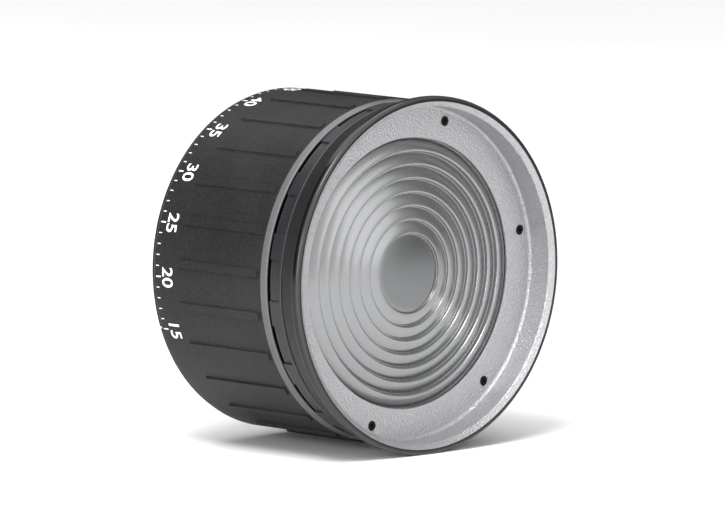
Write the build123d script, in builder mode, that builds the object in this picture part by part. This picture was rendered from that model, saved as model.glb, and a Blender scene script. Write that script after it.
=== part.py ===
from build123d import *

import math
import os
from collections import namedtuple

# Zooming fresnel attachment for a studio lamp head, in millimetres.
#
# The optical axis is Y. The rear seating face, which meets the lamp, is at Y = 0, and the light leaves
# towards -Y. +Z is up, and +X is on the right for a person who looks into the lens. Angles are counted
# anticlockwise from +X for that person. Three bodies: the housing stays on the lamp, the zoom barrel turns
# about the axis, and the lens carriage slides along it, pushed by the barrel's helical slots.

# ---------------------------------------------------------------- lengths along the axis
plate_thickness = 3.0  # bayonet plate
cover_depth = 7.3  # rear cover, from the plate to its front rim
cover_web = 3.3  # flat inner wall of the rear cover
running_gap = 0.5  # between the rear cover and the barrel
barrel_length = 88.0
rest_gap = 2.7  # between the barrel and the lens cell when zoomed in
cell_length = 9.1  # castellated lens cell
collar_length = 2.0  # plain collar in front of the castellations
bezel_depth = 15.4  # from the lens cell to the lip plane, where the lip is widest
lip_rise = 2.3  # rounded lip in front of the lip plane
zoom_travel = 40.0
zoom_turn = 110.0  # degrees of barrel rotation for the whole travel

# ---------------------------------------------------------------- radii and walls
lip_radius = 96.0
lip_overhang = 4.1  # the lip stands out from the barrel
lip_width = 2.9  # from the lip's crest out to its widest circle
barrel_wall = 2.9
cam_wall = 2.4
guide_wall = 3.0
carriage_wall = 2.5
dish_wall = 1.7  # from the barrel's outside in to the dish's inner wall
dish_ledge = 17.3  # width of the flat annular face
lens_seat = 7.1  # width of the lens flange behind the annular face
plate_radius = 72.5
throat_radius = 45.5  # clear rear opening
spigot_wall = 2.5
condenser_radius = 46.0

# ---------------------------------------------------------------- clearances
slide_clearance = 0.3  # between tubes that move in each other
glide_clearance = 0.1  # between a low-friction band and its track
glass_clearance = 0.4  # around a lens
follower_clearance = 0.3  # each side of a bush in its slot

# ---------------------------------------------------------------- barrel
rib_count = 25
rib_width = 5.0
rib_height = 1.1
rib_margin_front = 5.8  # from the barrel's front edge to the ribs
rib_margin_rear = 19.4
rib_first = 3.7  # degrees
edge_round = 0.85  # rear edge of the barrel
trim_length = 3.8  # bevelled ring on the barrel's front edge
trim_wall = 1.7
trim_bevel = 0.9
trim_break = 0.3
trim_reach = 0.8  # the trim ring stands in front of the barrel's spigot
barrel_flange = 1.2  # inner flange behind the cam sleeve
key_radius = 1.5
key_depth = 1.5  # into the barrel's wall
key_setback = 9.0  # from the barrel's rear edge
key_sink = 0.6

# ---------------------------------------------------------------- bezel, dish and lens cell
cell_undercut = 0.2  # the cell is a little smaller than the barrel
block_count = 16
block_angle = 8.8  # degrees
block_first = 166.9  # degrees, middle of a block
block_height = 1.2
liner_wall = 0.8
liner_face = 1.2
liner_fillet = 2.0
flare_wall = 0.6  # the liner where it hooks over the lip
flare_foot = 0.4  # small break between the liner's bevel and its wall
bezel_crest_length = 2.1  # widest band of the lip
bezel_step = 0.5  # fine step behind that band
bezel_step_height = 0.4
bezel_tail = 0.9  # rear lip of the bezel, inside the groove
bezel_tail_length = 0.7
bezel_tail_face = 0.2
bezel_flare_end = 0.7  # where the taper ends, outside the barrel's radius
groove_width = 1.8
seal_height = 0.1  # the seal stands out of the liner's corner
bezel_screw_inset = 11.2  # from the aperture's edge to the screws
bezel_screw_first = 11.5  # degrees
bezel_screw_sink = 0.2
bezel_screw_count = 6

# ---------------------------------------------------------------- lens
lens_thickness = 5.0
lens_crest = 1.2  # the prism crests stand in front of the dish face
lens_edge_gap = 0.5  # between the prisms and the aperture's edge
dome_radius = 21.3
prism_count = 7
prism_step_inner = 1.7
prism_step_outer = 4.1
gasket_thickness = 0.8
cushion_thickness = 0.6
shoulder_inset = 1.6  # the cell's shoulder, outside the aperture

# ---------------------------------------------------------------- carriage and guides
bush_radius = 4.0
bush_wall = 0.9  # round the screw's head
bush_headroom = 0.5  # under the barrel's bore
follower_bore = 2.0
follower_angles = (30.0, 150.0, 270.0)
follower_margin = 27.2  # behind-most follower station, from the barrel's rear edge
head_height = 1.8
head_sink = 0.2
carriage_tail = 12.0  # sleeve behind the followers
sleeve_flange = 5.9  # inner flange of the sleeve, inwards from its bore
band_width = 4.0
band_height = 0.7
band_inset = 1.0
band_margin_rear = 5.2
band_margin_front = 10.0
slot_overrun = 1.0  # spare length of the straight slots
guide_setback = 2.8  # the guide tube ends behind the barrel's front edge
guide_flange = 7.3
wiper_inset = 2.0
wiper_width = 3.0
wiper_depth = 1.2
retainer_inset = 0.4
retainer_length = 1.5
retainer_gap = 0.4
set_screw_radius = 0.6
set_screw_length = 4.0
set_screw_sink = 0.2

# ---------------------------------------------------------------- rear cover, condenser and bayonet
cover_rim_width = 1.7
cover_heel_inset = 2.3
cover_throat_margin = 6.0
felt_inset = 1.0
felt_width = 2.4
felt_depth = 1.5
index_radius = 0.6
index_length = 1.0
index_proud = 0.1
index_angle = 200.0
holder_wall = 2.7
holder_flange = 3.0
holder_flange_edge = 4.0
holder_screw_margin = 5.0
cup_ledge = 2.5
cup_step_depth = 0.7
cup_lip = 4.0
condenser_edge = 3.0
condenser_rise = 10.0
clamp_length = 3.0
plate_chamfer = 1.0
bayonet_screw_offset = 4.0
lug_count = 3
lug_angle = 34.0  # degrees
lug_height = 3.5
lug_thickness = 3.0
lug_root = 1.2  # how deep a lug reaches into the spigot's wall
spigot_length = 10.0

# ---------------------------------------------------------------- stations (Y, negative towards the front)
cover_back = -plate_thickness
cover_front = cover_back - cover_depth
web_front = cover_back - cover_web
barrel_back = cover_front - running_gap
barrel_front = barrel_back - barrel_length
cell_back = barrel_front - rest_gap
cell_front = cell_back - cell_length
dish_face = cell_front - liner_face
lip_plane = cell_front - bezel_depth
lip_front = lip_plane - lip_rise
groove_front = cell_front - groove_width
follower_y = barrel_back - follower_margin
flange_front = web_front - guide_wall
guide_front = barrel_front + guide_setback
retainer_front = guide_front + retainer_inset
retainer_back = retainer_front + retainer_length
cam_front = retainer_back + slide_clearance
cam_back = barrel_back - barrel_flange
key_y = barrel_back - key_setback
wiper_front = guide_front + wiper_inset
band_stations = (barrel_back - band_margin_rear, guide_front + band_margin_front)
lens_front = cell_front + gasket_thickness
lens_back = lens_front + lens_thickness
cushion_back = lens_back + cushion_thickness
crest_y = dish_face - lens_crest

# ---------------------------------------------------------------- radii that follow
barrel_radius = lip_radius - lip_overhang
barrel_bore = barrel_radius - barrel_wall
cam_bore = barrel_bore - cam_wall
guide_radius = cam_bore - slide_clearance
guide_bore = guide_radius - guide_wall
carriage_radius = guide_bore - slide_clearance
carriage_bore = carriage_radius - carriage_wall
band_track = guide_radius - band_height
cell_radius = barrel_radius - cell_undercut
cell_floor = cell_radius - block_height
dish_radius = barrel_radius - dish_wall
liner_radius = dish_radius + liner_wall
crest_radius = lip_radius - lip_width
aperture_radius = dish_radius - dish_ledge
lens_radius = aperture_radius + lens_seat
cell_seat = lens_radius + glass_clearance
cell_shoulder = aperture_radius + shoulder_inset
prism_edge = aperture_radius - lens_edge_gap
prism_pitch = (prism_edge - dome_radius) / prism_count
spigot_radius = throat_radius + spigot_wall
holder_bore = condenser_radius + glass_clearance
holder_radius = holder_bore + holder_wall
holder_circle = holder_radius + holder_screw_margin
slot_width = 2 * (bush_radius + follower_clearance)
felt_inner = guide_radius + felt_inset
felt_outer = felt_inner + felt_width

OUTWARD = (Align.CENTER, Align.CENTER, Align.MIN)
INWARD = (Align.CENTER, Align.CENTER, Align.MAX)
SET_SCREW_ANGLES = (0, 120, 240)


def front_plane(y):
    """A plane across the axis that faces the front, with its x along +X and its y along +Z."""
    return Plane(origin=(0, y, 0), x_dir=(1, 0, 0), z_dir=(0, -1, 0))


def back_plane(y):
    """A plane across the axis that faces the lamp."""
    return Plane(origin=(0, y, 0), x_dir=(1, 0, 0), z_dir=(0, 1, 0))


def radial_plane(angle, y, radius=0.0):
    """A plane that faces outwards at an angle round the axis, with its x along +Y."""
    out = (math.cos(math.radians(angle)), 0, math.sin(math.radians(angle)))
    return Plane(origin=(radius * out[0], y, radius * out[2]), x_dir=(0, 1, 0), z_dir=out)


def radial_planes(angles, y, radius):
    """The same plane at several angles."""
    return Locations(*[radial_plane(angle, y, radius) for angle in angles])


def cap_depth(rim, rise, radius):
    """How far a spherical cap of a given rim radius and rise has fallen from its crown at a radius."""
    ball = (rim**2 + rise**2) / (2 * rise)
    return ball - math.sqrt(ball**2 - radius**2)


def turn(*corners, mode=Mode.ADD):
    """Turn a closed outline of (radius, Y) corners about the optical axis."""
    with BuildSketch(Plane.XY) as outline:
        with BuildLine():
            Polyline(*corners, close=True)
        make_face()
    revolve(outline.sketch, axis=Axis.Y, mode=mode)


def tube(inner, outer, front, back, mode=Mode.ADD):
    """A plain tube between two radii and two stations."""
    turn((inner, front), (outer, front), (outer, back), (inner, back), mode=mode)


ScrewSet = namedtuple("ScrewSet", "plane circle first count head rise shank length socket")


def add_screws(screws, mode=Mode.ADD):
    """Screws in a ring: their heads stand on the plane and their shanks go into it."""
    with Locations(screws.plane):
        with PolarLocations(screws.circle, screws.count, start_angle=screws.first):
            Cylinder(screws.head, screws.rise, align=OUTWARD, mode=mode)
            Cylinder(screws.shank, screws.length, align=INWARD, mode=mode)


def cut_sockets(screws):
    """Hexagon sockets, two thirds as deep as the heads are high."""
    with BuildSketch(screws.plane.offset(screws.rise)) as sockets:
        with PolarLocations(screws.circle, screws.count, start_angle=screws.first):
            RegularPolygon(screws.socket, 6)
    extrude(sockets.sketch, amount=-screws.rise * 2 / 3, mode=Mode.SUBTRACT)


def finish(**pieces):
    """Label each finished piece and write it to its own file."""
    for name, piece in pieces.items():
        piece.part.label = name
        export_step(piece.part, f"parts/{name}.step")


# Every set of axial screws: where its heads sit, its circle, and its screws.
bayonet_set = ScrewSet(
    plane=back_plane(-1.8),
    circle=(throat_radius + plate_radius) / 2 + bayonet_screw_offset,
    first=30,
    count=6,
    head=3.4,
    rise=1.8,
    shank=1.6,
    length=cover_web + plate_thickness - 2.1,
    socket=1.5,
)
cover_set = ScrewSet(
    plane=front_plane(flange_front),
    circle=guide_bore - 3.6,
    first=0,
    count=6,
    head=2.4,
    rise=1.8,
    shank=1.25,
    length=guide_wall + cover_web - 0.9,
    socket=1.2,
)
holder_set = ScrewSet(
    plane=front_plane(web_front - holder_flange),
    circle=holder_circle,
    first=60,
    count=3,
    head=2.2,
    rise=1.6,
    shank=1.2,
    length=holder_flange + cover_web - 1.1,
    socket=1.1,
)
sleeve_set = ScrewSet(
    plane=back_plane(cell_back + carriage_wall),
    circle=carriage_bore - 2.3,
    first=0,
    count=6,
    head=1.9,
    rise=1.6,
    shank=1.1,
    length=carriage_wall + (cell_back - cushion_back) - 0.6,
    socket=0.9,
)
bezel_set = ScrewSet(
    plane=front_plane(dish_face + bezel_screw_sink + 1.25),
    circle=aperture_radius + bezel_screw_inset,
    first=bezel_screw_first,
    count=bezel_screw_count,
    head=2.75,
    rise=1.25,
    shank=1.5,
    length=6.0,
    socket=1.4,
)

os.makedirs("parts", exist_ok=True)

# ================================================================ housing, fixed to the lamp

# Bayonet plate: a steel disc whose rear face seats on the lamp, with a spigot and three outward lugs.
with BuildPart() as bayonet_plate:
    turn(
        (throat_radius, cover_back),
        (plate_radius, cover_back),
        (plate_radius, -plate_chamfer),
        (plate_radius - plate_chamfer, 0),
        (spigot_radius, 0),
        (spigot_radius, spigot_length),
        (throat_radius, spigot_length),
    )
    with BuildSketch(back_plane(spigot_length - lug_thickness)) as lugs:
        Circle(spigot_radius + lug_height)
        Circle(spigot_radius - lug_root, mode=Mode.SUBTRACT)
        with BuildSketch(mode=Mode.INTERSECT):
            for lug in range(lug_count):
                corners = [(0, 0)]
                for side in (-lug_angle / 2, lug_angle / 2):
                    turned = math.radians(90 + lug * 360 / lug_count + side)
                    reach = 2 * spigot_radius
                    corners.append((reach * math.cos(turned), reach * math.sin(turned)))
                with BuildLine():
                    Polyline(*corners, close=True)
                make_face()
    extrude(amount=lug_thickness)
    add_screws(bayonet_set, Mode.SUBTRACT)

with BuildPart() as bayonet_screws:
    add_screws(bayonet_set)
    cut_sockets(bayonet_set)

# Guide tube: three straight slots keep the lens carriage from turning. Its rear flange screws to the cover.
with BuildPart() as guide_tube:
    turn(
        (guide_bore - guide_flange, web_front),
        (guide_radius, web_front),
        (guide_radius, guide_front),
        (guide_bore, guide_front),
        (guide_bore, flange_front),
        (guide_bore - guide_flange, flange_front),
    )
    for angle in follower_angles:
        with BuildSketch(radial_plane(angle, follower_y - zoom_travel / 2)):
            SlotCenterToCenter(zoom_travel + 2 * slot_overrun, slot_width)
        extrude(amount=lip_radius, mode=Mode.SUBTRACT)
    for station in band_stations:
        tube(band_track, lip_radius, station - band_width, station, mode=Mode.SUBTRACT)
    tube(carriage_bore, guide_bore + wiper_depth, wiper_front, wiper_front + wiper_width, mode=Mode.SUBTRACT)
    add_screws(cover_set, Mode.SUBTRACT)

with BuildPart() as cover_screws:
    add_screws(cover_set)
    cut_sockets(cover_set)

with BuildPart() as glide_bands:
    for station in band_stations:
        tube(band_track, cam_bore - glide_clearance, station - band_width, station)

with BuildPart() as wiper_ring:
    tube(carriage_radius + glide_clearance, guide_bore + wiper_depth, wiper_front, wiper_front + wiper_width)

# Barrel retainer: a ring on the front of the guide tube, which keeps the cam sleeve from leaving forwards.
retainer_radius = barrel_bore - retainer_gap
retainer_middle = (retainer_front + retainer_back) / 2
with BuildPart() as barrel_retainer:
    tube(guide_radius, retainer_radius, retainer_front, retainer_back)
    with radial_planes(SET_SCREW_ANGLES, retainer_middle, guide_radius):
        Cylinder(set_screw_radius, 2 * barrel_wall, mode=Mode.SUBTRACT)

with BuildPart() as retainer_screws:
    with radial_planes(SET_SCREW_ANGLES, retainer_middle, guide_radius):
        Cylinder(set_screw_radius, retainer_radius - guide_radius - set_screw_sink, align=OUTWARD)

# Rear cover: a dished plastic cover, conical outside, with a felt groove in its front rim.
cover_rim = barrel_radius - edge_round
cover_throat = holder_bore + cover_throat_margin
index_y = cover_front + cover_rim_width / 2
with BuildPart() as rear_cover:
    turn(
        (cover_throat, cover_back),
        (guide_radius - cover_heel_inset, cover_back),
        (cover_rim, cover_front + cover_rim_width),
        (cover_rim, cover_front),
        (guide_radius, cover_front),
        (guide_radius, web_front),
        (cover_throat, web_front),
    )
    tube(felt_inner, felt_outer, cover_front, cover_front + felt_depth, mode=Mode.SUBTRACT)
    for screws in (bayonet_set, cover_set, holder_set):
        add_screws(screws, Mode.SUBTRACT)
    with Locations(radial_plane(index_angle, index_y, cover_rim + index_proud)):
        Cylinder(index_radius, index_length, align=INWARD, mode=Mode.SUBTRACT)

with BuildPart() as index_pin:
    with Locations(radial_plane(index_angle, index_y, cover_rim + index_proud)):
        Cylinder(index_radius, index_length, align=INWARD)

with BuildPart() as drag_felt:
    tube(felt_inner, felt_outer, barrel_back + glide_clearance, cover_front + felt_depth)

# Condenser: the collecting lens in its own black cup, clamped by a ring with three set screws.
cup_shoulder = condenser_radius - cup_ledge
cup_step = web_front - holder_flange - cup_step_depth
condenser_back = cup_step - gasket_thickness
clamp_back = condenser_back - condenser_edge
clamp_front = clamp_back - clamp_length
clamp_middle = (clamp_front + clamp_back) / 2
crown = clamp_back - condenser_rise
with BuildPart() as condenser_holder:
    turn(
        (cup_shoulder, web_front),
        (holder_circle + holder_flange_edge, web_front),
        (holder_circle + holder_flange_edge, web_front - holder_flange),
        (holder_radius, web_front - holder_flange),
        (holder_radius, clamp_front - cup_lip),
        (holder_bore, clamp_front - cup_lip),
        (holder_bore, cup_step),
        (cup_shoulder, cup_step),
    )
    add_screws(holder_set, Mode.SUBTRACT)
    with radial_planes(SET_SCREW_ANGLES, clamp_middle, holder_radius):
        Cylinder(set_screw_radius, set_screw_length, align=INWARD, mode=Mode.SUBTRACT)

with BuildPart() as holder_screws:
    add_screws(holder_set)
    cut_sockets(holder_set)

with BuildPart() as condenser_gasket:
    tube(cup_shoulder, holder_bore, condenser_back, cup_step)

with BuildPart() as condenser_lens:
    with BuildSketch(Plane.XY):
        with BuildLine():
            ThreePointArc(
                (cup_shoulder, clamp_back),
                (cup_shoulder / 2, crown + cap_depth(cup_shoulder, condenser_rise, cup_shoulder / 2)),
                (0, crown),
            )
            Polyline(
                (0, crown),
                (0, condenser_back),
                (condenser_radius, condenser_back),
                (condenser_radius, clamp_back),
                (cup_shoulder, clamp_back),
            )
        make_face()
    revolve(axis=Axis.Y)

with BuildPart() as condenser_retainer:
    tube(cup_shoulder, holder_bore, clamp_front, clamp_back)
    with radial_planes(SET_SCREW_ANGLES, clamp_middle, holder_radius):
        Cylinder(set_screw_radius, set_screw_length, align=INWARD, mode=Mode.SUBTRACT)

with BuildPart() as condenser_set_screws:
    with radial_planes(SET_SCREW_ANGLES, clamp_middle, holder_radius):
        Cylinder(set_screw_radius, set_screw_length, align=INWARD)

# ================================================================ zoom barrel, turns about the axis

# Zoom barrel: moulded sleeve with raised ribs, an inner flange at its rear and a thin front spigot.
trim_back = barrel_front + trim_length
trim_bore = barrel_radius - trim_wall
rib_foot = (barrel_bore + barrel_radius) / 2
rib_rise = barrel_radius + rib_height - rib_foot
corner = edge_round * (1 - math.sqrt(0.5))
with BuildPart() as zoom_barrel:
    turn(
        (felt_inner, barrel_back),
        (barrel_radius - edge_round, barrel_back),
        (barrel_radius - corner, barrel_back - corner),
        (barrel_radius, barrel_back - edge_round),
        (barrel_radius, trim_back),
        (trim_bore, trim_back),
        (trim_bore, barrel_front + trim_reach),
        (barrel_bore, barrel_front + trim_reach),
        (barrel_bore, cam_back),
        (felt_inner, cam_back),
    )
    with BuildSketch(front_plane(barrel_back - rib_margin_rear)):
        with PolarLocations(rib_foot + rib_rise / 2, rib_count, start_angle=rib_first):
            Rectangle(rib_rise, rib_width)
    extrude(amount=barrel_length - rib_margin_front - rib_margin_rear)
    with radial_planes(follower_angles, key_y, barrel_bore + key_depth):
        Cylinder(key_radius, key_depth + barrel_wall, align=INWARD, mode=Mode.SUBTRACT)

with BuildPart() as barrel_trim_ring:
    turn(
        (trim_bore, trim_back),
        (barrel_radius, trim_back),
        (barrel_radius - trim_bevel, barrel_front + trim_break),
        (barrel_radius - trim_bevel - trim_break, barrel_front),
        (trim_bore, barrel_front),
    )

# Cam slot: swept once at angle 0, with forwards along +Z, then cut at each follower's angle, round ends last.
cam_lead = zoom_travel * 360 / zoom_turn
cam_middle = barrel_bore - cam_wall / 2
slot_depth = 3 * cam_wall
cam_slope = math.atan2(cam_lead, 2 * math.pi * cam_middle)
cam_run = (0, -math.cos(cam_slope), math.sin(cam_slope))
with BuildPart() as cam_slot:
    with BuildLine() as cam_path:
        Helix(cam_lead, zoom_travel, cam_middle, center=(0, 0, -follower_y), lefthand=True)
    with BuildSketch(Plane(origin=cam_path.line @ 0, x_dir=(1, 0, 0), z_dir=cam_run)) as slot_section:
        Rectangle(slot_depth, slot_width)
    sweep(slot_section.sketch, path=cam_path.line, is_frenet=True)

with BuildPart() as cam_sleeve:
    tube(cam_bore, barrel_bore, cam_front, cam_back)
    with Locations(front_plane(0)):
        with PolarLocations(0, len(follower_angles), start_angle=follower_angles[0]):
            add(cam_slot.part, mode=Mode.SUBTRACT)
    for turned, advance in ((0, 0), (zoom_turn, zoom_travel)):
        with radial_planes([a - turned for a in follower_angles], follower_y - advance, cam_middle):
            Cylinder(slot_width / 2, slot_depth, mode=Mode.SUBTRACT)
    with radial_planes(follower_angles, key_y, barrel_bore + key_depth):
        Cylinder(key_radius, key_depth + 2 * cam_wall, align=INWARD, mode=Mode.SUBTRACT)

with BuildPart() as cam_keys:
    with radial_planes(follower_angles, key_y, barrel_bore + key_depth):
        Cylinder(key_radius, key_depth + cam_wall - key_sink, align=INWARD)

# ================================================================ lens carriage, slides along the axis


def bezel_screw_blanks(mode=Mode.ADD):
    """Countersunk screws through the dish face into the lens cell, without their sockets."""
    with Locations(bezel_set.plane):
        with PolarLocations(bezel_set.circle, bezel_set.count, start_angle=bezel_set.first):
            Cone(bezel_set.shank, bezel_set.head, bezel_set.rise, align=OUTWARD, mode=mode)
            Cylinder(bezel_set.shank, bezel_set.length, align=INWARD, mode=mode)


# The liner's bevel runs from its wall out to the lip's crest, and its back is parallel, one flare_wall away.
bevel_out = crest_radius - (dish_radius + flare_foot)
bevel_up = lip_rise - flare_foot
bevel_length = math.hypot(bevel_out, bevel_up)
hook = (
    crest_radius + flare_wall * bevel_up / bevel_length,
    lip_front + flare_wall * bevel_out / bevel_length,
)
hook_foot = (liner_radius, hook[1] + (hook[0] - liner_radius) * bevel_up / bevel_out)

# Front bezel: black ring with a rounded lip and a taper that ends at the groove.
flare_end_radius = barrel_radius + bezel_flare_end
tail_front = groove_front - bezel_tail_length
with BuildPart() as front_bezel:
    with BuildSketch(Plane.XY):
        with BuildLine():
            half = math.sqrt(0.5)
            ThreePointArc(
                (crest_radius, lip_front),
                (crest_radius + lip_width * half, lip_plane - lip_rise * half),
                (lip_radius, lip_plane),
            )
            Polyline(
                (lip_radius, lip_plane),
                (lip_radius, lip_plane + bezel_crest_length),
                (lip_radius - bezel_step_height, lip_plane + bezel_crest_length + bezel_step),
                (flare_end_radius, tail_front - bezel_tail_face),
                (flare_end_radius, tail_front),
                (liner_radius + bezel_tail, tail_front),
                (liner_radius + bezel_tail, groove_front),
                (liner_radius, groove_front),
                hook_foot,
                hook,
                (crest_radius, lip_front),
            )
        make_face()
    revolve(axis=Axis.Y)

# Reflector liner: thin silver dish that hooks over the bezel's lip and carries the flat annular face.
with BuildPart() as reflector_liner:
    with BuildSketch(Plane.XY):
        with BuildLine():
            RadiusArc(
                (dish_radius - liner_fillet, dish_face),
                (dish_radius, dish_face - liner_fillet),
                -liner_fillet,
            )
            Polyline(
                (dish_radius, dish_face - liner_fillet),
                (dish_radius, lip_plane),
                (dish_radius + flare_foot, lip_plane - flare_foot),
                (crest_radius, lip_front),
                hook,
                hook_foot,
                (liner_radius, groove_front),
                (liner_radius - groove_width, cell_front),
                (aperture_radius, cell_front),
                (aperture_radius, dish_face),
                (dish_radius - liner_fillet, dish_face),
            )
        make_face()
    revolve(axis=Axis.Y)
    bezel_screw_blanks(Mode.SUBTRACT)
    with Locations(bezel_set.plane.offset(bezel_set.rise)):
        with PolarLocations(bezel_set.circle, bezel_set.count, start_angle=bezel_set.first):
            Cylinder(bezel_set.head, liner_face, align=OUTWARD, mode=Mode.SUBTRACT)

with BuildPart() as bezel_screws:
    bezel_screw_blanks()
    cut_sockets(bezel_set)

with BuildPart() as bezel_seal:
    turn(
        (liner_radius, groove_front),
        (liner_radius + seal_height, groove_front),
        (liner_radius + seal_height, cell_front),
        (liner_radius - groove_width, cell_front),
    )

with BuildPart() as lens_gasket:
    tube(prism_edge + 2 * lens_edge_gap, lens_radius, cell_front, lens_front)

# Fresnel lens: flat back, a shallow centre dome, and prism rings whose slopes fall outwards and deepen.
prism_corners = []
for ring in range(prism_count):
    inner = dome_radius + ring * prism_pitch
    fall = prism_step_inner + (prism_step_outer - prism_step_inner) * (ring + 1) / prism_count
    prism_corners += [(inner, crest_y), (inner + prism_pitch, crest_y + fall)]
with BuildPart() as fresnel_lens:
    with BuildSketch(Plane.XY):
        with BuildLine():
            ThreePointArc(
                (0, crest_y),
                (dome_radius / 2, crest_y + cap_depth(dome_radius, prism_step_inner, dome_radius / 2)),
                (dome_radius, crest_y + prism_step_inner),
            )
            Polyline(
                (dome_radius, crest_y + prism_step_inner),
                *prism_corners,
                (prism_edge, lens_front),
                (lens_radius, lens_front),
                (lens_radius, lens_back),
                (0, lens_back),
                (0, crest_y),
            )
        make_face()
    revolve(axis=Axis.Y)

with BuildPart() as lens_cushion:
    tube(cell_shoulder, lens_radius, lens_back, cushion_back)

# Vent ring: the lens cell, with castellations round its rim that carry heat away.
block_width = 2 * cell_radius * math.sin(math.radians(block_angle / 2))
with BuildPart() as vent_ring:
    turn(
        (cell_seat, cell_front),
        (cell_radius, cell_front),
        (cell_radius, cell_back),
        (cell_shoulder, cell_back),
        (cell_shoulder, cushion_back),
        (cell_seat, cushion_back),
    )
    with BuildSketch(front_plane(cell_back)) as recesses:
        Circle(cell_radius + block_height)
        Circle(cell_floor, mode=Mode.SUBTRACT)
        with PolarLocations(cell_radius, block_count, start_angle=block_first):
            Rectangle(6 * block_height, block_width, mode=Mode.SUBTRACT)
    extrude(amount=cell_length - collar_length, mode=Mode.SUBTRACT)
    bezel_screw_blanks(Mode.SUBTRACT)
    add_screws(sleeve_set, Mode.SUBTRACT)

# Carriage sleeve: slides in the guide tube and carries the three cam followers.
carriage_back = follower_y + carriage_tail
band_back = carriage_back - band_inset
with BuildPart() as carriage_sleeve:
    turn(
        (carriage_bore - sleeve_flange + 1.4, cell_back),
        (carriage_radius, cell_back),
        (carriage_radius, carriage_back),
        (carriage_bore, carriage_back),
        (carriage_bore, cell_back + carriage_wall),
        (carriage_bore - sleeve_flange + 1.4, cell_back + carriage_wall),
    )
    tube(carriage_radius - band_height, guide_bore, band_back - band_width, band_back, mode=Mode.SUBTRACT)
    add_screws(sleeve_set, Mode.SUBTRACT)
    with radial_planes(follower_angles, follower_y, guide_bore):
        Cylinder(follower_bore, 2 * carriage_wall, align=INWARD, mode=Mode.SUBTRACT)

with BuildPart() as sleeve_screws:
    add_screws(sleeve_set)
    cut_sockets(sleeve_set)

with BuildPart() as carriage_band:
    tube(carriage_radius - band_height, guide_bore - glide_clearance, band_back - band_width, band_back)

# Cam followers: a bush that runs in both slots, held by a shoulder screw with its head in the bush.
bush_top = barrel_bore - bush_headroom
head_foot = bush_top - head_sink - head_height
head_radius = bush_radius - bush_wall
with BuildPart() as follower_bushes:
    with radial_planes(follower_angles, follower_y, carriage_radius):
        Cylinder(bush_radius, bush_top - carriage_radius, align=OUTWARD)
        Cylinder(follower_bore, bush_top - carriage_radius, align=OUTWARD, mode=Mode.SUBTRACT)
    with radial_planes(follower_angles, follower_y, head_foot):
        Cylinder(head_radius, bush_top - head_foot, align=OUTWARD, mode=Mode.SUBTRACT)

with BuildPart() as follower_screws:
    with radial_planes(follower_angles, follower_y, head_foot):
        Cylinder(head_radius, head_height, align=OUTWARD)
        Cylinder(follower_bore, head_foot - carriage_bore, align=INWARD)

# ================================================================ files, one for each piece
finish(
    bayonet_plate=bayonet_plate,
    bayonet_screws=bayonet_screws,
    guide_tube=guide_tube,
    cover_screws=cover_screws,
    glide_bands=glide_bands,
    wiper_ring=wiper_ring,
    barrel_retainer=barrel_retainer,
    retainer_screws=retainer_screws,
    rear_cover=rear_cover,
    index_pin=index_pin,
    drag_felt=drag_felt,
    condenser_holder=condenser_holder,
    holder_screws=holder_screws,
    condenser_gasket=condenser_gasket,
    condenser_lens=condenser_lens,
    condenser_retainer=condenser_retainer,
    condenser_set_screws=condenser_set_screws,
)
finish(
    zoom_barrel=zoom_barrel,
    barrel_trim_ring=barrel_trim_ring,
    cam_sleeve=cam_sleeve,
    cam_keys=cam_keys,
)
finish(
    front_bezel=front_bezel,
    reflector_liner=reflector_liner,
    bezel_screws=bezel_screws,
    bezel_seal=bezel_seal,
    lens_gasket=lens_gasket,
    fresnel_lens=fresnel_lens,
    lens_cushion=lens_cushion,
    vent_ring=vent_ring,
    carriage_sleeve=carriage_sleeve,
    sleeve_screws=sleeve_screws,
    carriage_band=carriage_band,
    follower_bushes=follower_bushes,
    follower_screws=follower_screws,
)
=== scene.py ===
# %% [markdown]
# # A zooming fresnel attachment
# A fresnel attachment locks onto the front of a studio lamp. A ribbed barrel turns on it, and helical slots
# inside push a glass lens in its cell to and fro, so the beam widens and narrows. The exact model of every
# part is already packed, with its bodies and joints. Here it is loaded as a fixed frame, and the parts that
# the eye meets are made again with softer edges, reliefs and real finishes. Millimetres are used in the
# outlines below, and metres in the meshes.

import math

import bmesh
import bpy
import numpy as np
from mathutils import Matrix, Vector


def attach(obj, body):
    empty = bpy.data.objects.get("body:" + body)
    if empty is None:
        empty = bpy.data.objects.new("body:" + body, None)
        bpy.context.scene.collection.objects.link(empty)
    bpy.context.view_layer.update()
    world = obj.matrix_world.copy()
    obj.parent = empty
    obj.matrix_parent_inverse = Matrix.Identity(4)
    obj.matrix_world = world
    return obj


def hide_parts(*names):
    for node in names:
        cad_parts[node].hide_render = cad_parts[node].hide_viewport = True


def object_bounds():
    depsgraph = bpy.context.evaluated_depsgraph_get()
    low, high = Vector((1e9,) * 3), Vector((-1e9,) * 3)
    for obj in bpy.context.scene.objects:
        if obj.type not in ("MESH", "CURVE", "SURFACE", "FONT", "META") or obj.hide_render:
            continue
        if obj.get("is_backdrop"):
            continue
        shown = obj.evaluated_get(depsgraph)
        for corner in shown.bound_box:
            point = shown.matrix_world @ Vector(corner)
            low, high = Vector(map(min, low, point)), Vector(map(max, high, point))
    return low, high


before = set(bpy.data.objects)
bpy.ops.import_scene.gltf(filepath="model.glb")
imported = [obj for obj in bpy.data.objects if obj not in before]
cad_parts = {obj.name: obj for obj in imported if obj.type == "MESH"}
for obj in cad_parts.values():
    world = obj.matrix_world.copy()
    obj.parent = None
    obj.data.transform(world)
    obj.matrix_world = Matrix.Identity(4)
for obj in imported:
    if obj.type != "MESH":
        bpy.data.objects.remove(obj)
cad_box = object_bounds()
MM = 0.001
low, high = [np.array(corner) / MM for corner in cad_box]

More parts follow.
